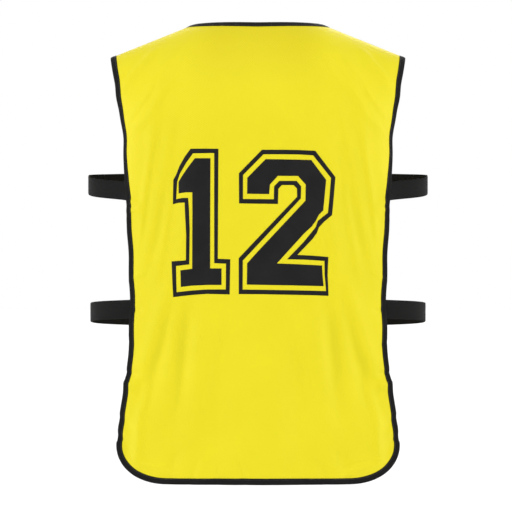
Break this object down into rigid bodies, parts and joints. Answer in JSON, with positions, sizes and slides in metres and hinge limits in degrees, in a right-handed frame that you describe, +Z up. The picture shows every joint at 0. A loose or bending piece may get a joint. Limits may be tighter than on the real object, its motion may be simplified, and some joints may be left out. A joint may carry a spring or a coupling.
{
  "type": "mesh training bib",
  "caption": "Sleeveless sports training bib with bound edges and elastic side straps, in its worn, hollow shape.",
  "frame": {"origin": "midway between the two shoulder seams, at the height of their midpoints, where the wearer's shoulders carry the bib", "axes": "+Z up, +Y the way the wearer faces, so the numbered back looks to -Y; +X to the wearer's right, which is the picture's right"},
  "size_m": [0.5482, 0.2275, 0.7327],
  "materials": {
    "knit": "fine smooth polyester knit, slightly shiny",
    "tape": "folded knit tape, matt",
    "elastic": "ribbed woven elastic, matt"
  },
  "bodies": {
    "root": {"back_panel": "knit", "front_panel": "knit", "back_edge_binding": "tape", "front_edge_binding": "tape", "neck_binding": "tape", "left_upper_strap": "elastic", "right_upper_strap": "elastic", "left_lower_strap": "elastic", "right_lower_strap": "elastic"}
  },
  "joints": []
}
